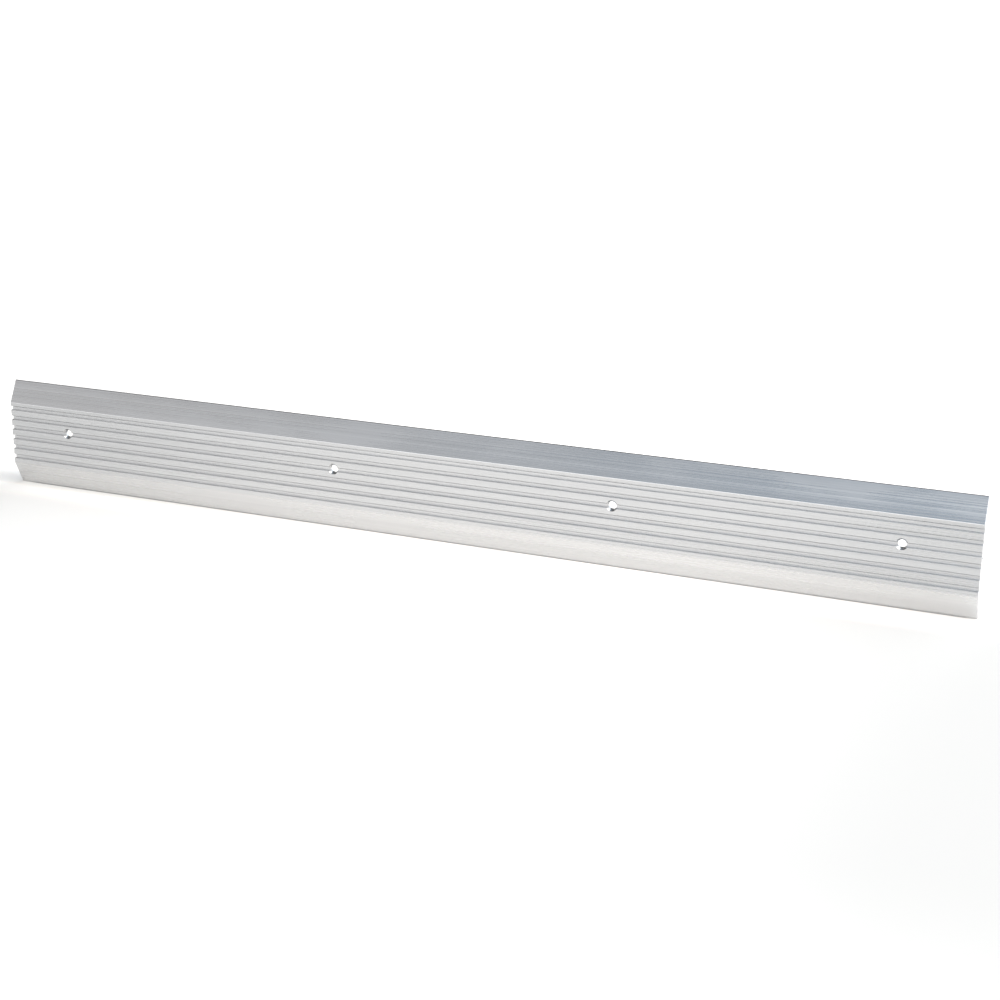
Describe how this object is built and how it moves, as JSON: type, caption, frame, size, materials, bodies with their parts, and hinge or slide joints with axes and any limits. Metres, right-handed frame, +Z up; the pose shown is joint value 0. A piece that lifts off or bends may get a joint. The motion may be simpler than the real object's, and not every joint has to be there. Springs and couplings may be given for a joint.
{
  "type": "plow blade strip",
  "caption": "Long straight aluminium blade strip with a ribbed face, flanges folded back along both edges and a row of countersunk bolt holes.",
  "frame": {"origin": "middle of the back rib's seat face, in the plane that bears on the blade behind", "axes": "+X along the strip, +Y out of the back towards what it is bolted to, +Z up across the ribs, towards the side that the ledges face"},
  "size_m": [1.2192, 0.0172, 0.1362],
  "materials": {
    "mill_aluminium": "mill finish with fine die lines along the length, saw-cut ends"
  },
  "bodies": {
    "root": {"ribbed_blade_strip": "mill_aluminium"}
  },
  "joints": []
}
